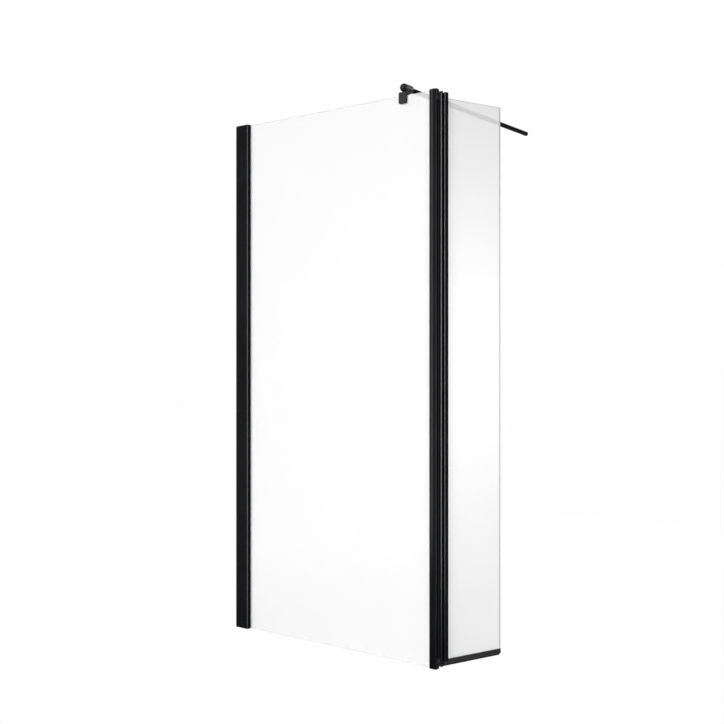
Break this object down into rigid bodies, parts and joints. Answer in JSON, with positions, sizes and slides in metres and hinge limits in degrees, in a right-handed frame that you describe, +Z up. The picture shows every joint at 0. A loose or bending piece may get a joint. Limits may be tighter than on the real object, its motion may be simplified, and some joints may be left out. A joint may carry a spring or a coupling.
{
  "type": "walk-in shower screen",
  "caption": "Black-framed walk-in shower screen: clear glass panel in a wall profile, hinged deflector panel with a bottom seal, and a swivelling support bar to the far wall.",
  "frame": {"origin": "where the wall's face, the middle plane of the main glass and the floor meet: the foot of the wall channel's back face", "axes": "+X from the wall along the main panel, +Y into the shower along the support bar, +Z up"},
  "size_m": [1.0042, 0.878, 1.939],
  "materials": {
    "black_aluminium": "matte black powder coat",
    "black_metal": "matte black coat on die-cast zinc",
    "clear_glass": "clear toughened, polished edges",
    "black_rubber": "matte",
    "black_plastic": "fine matte",
    "steel": "stainless",
    "black_steel": "blackened stainless",
    "acetal": "smooth acetal"
  },
  "bodies": {
    "channel": {"wall_channel": "black_aluminium"},
    "screen": {"wall_profile": "black_aluminium", "wall_profile_cap": "black_plastic", "wall_gasket_front": "black_rubber", "wall_gasket_back": "black_rubber", "lock_screws": "black_steel", "lock_nuts": "steel", "lock_caps": "black_plastic", "main_glass": "clear_glass", "setting_blocks": "black_plastic", "hinge_post": "black_aluminium", "post_gasket_front": "black_rubber", "post_gasket_back": "black_rubber", "post_top_cap": "black_plastic", "post_foot": "black_plastic", "hinge_seal": "black_rubber", "hinge_bracket_top": "black_metal", "hinge_bracket_bottom": "black_metal", "bracket_screws": "black_steel", "pivot_pin_top": "steel", "pivot_pin_bottom": "steel", "clamp_body": "black_metal", "clamp_pad_front": "black_rubber", "clamp_pad_back": "black_rubber", "clamp_plate": "steel", "clamp_screws": "black_steel", "swivel_stud": "black_metal"},
    "deflector": {"hinge_stile": "black_aluminium", "pivot_bush_top": "acetal", "pivot_bush_bottom": "acetal", "stile_top_cap": "black_plastic", "deflector_glass": "clear_glass", "stile_gasket_front": "black_rubber", "stile_gasket_back": "black_rubber", "bottom_rail": "black_aluminium", "sweep_seal": "black_rubber", "rail_end_cap": "black_plastic"},
    "bar": {"bar_head": "black_metal", "head_grub_screw": "black_steel", "bar_tube": "black_aluminium", "bar_wall_plug": "black_metal", "plug_grub_screw": "black_steel"}
  },
  "joints": [
    {"name": "width_adjust", "type": "slide", "parent": "channel", "child": "screen", "axis": [1, 0, 0], "range_m": [0, 0.02]},
    {"name": "deflector_hinge", "type": "hinge", "parent": "screen", "child": "deflector", "pos_m": [0.9145, 0, 0.95], "axis": [0, 0, 1], "range_deg": [-160, 20]},
    {"name": "bar_swivel", "type": "hinge", "parent": "screen", "child": "bar", "pos_m": [0.7655, 0, 1.925], "axis": [0, 0, 1], "range_deg": [-45, 45]}
  ]
}
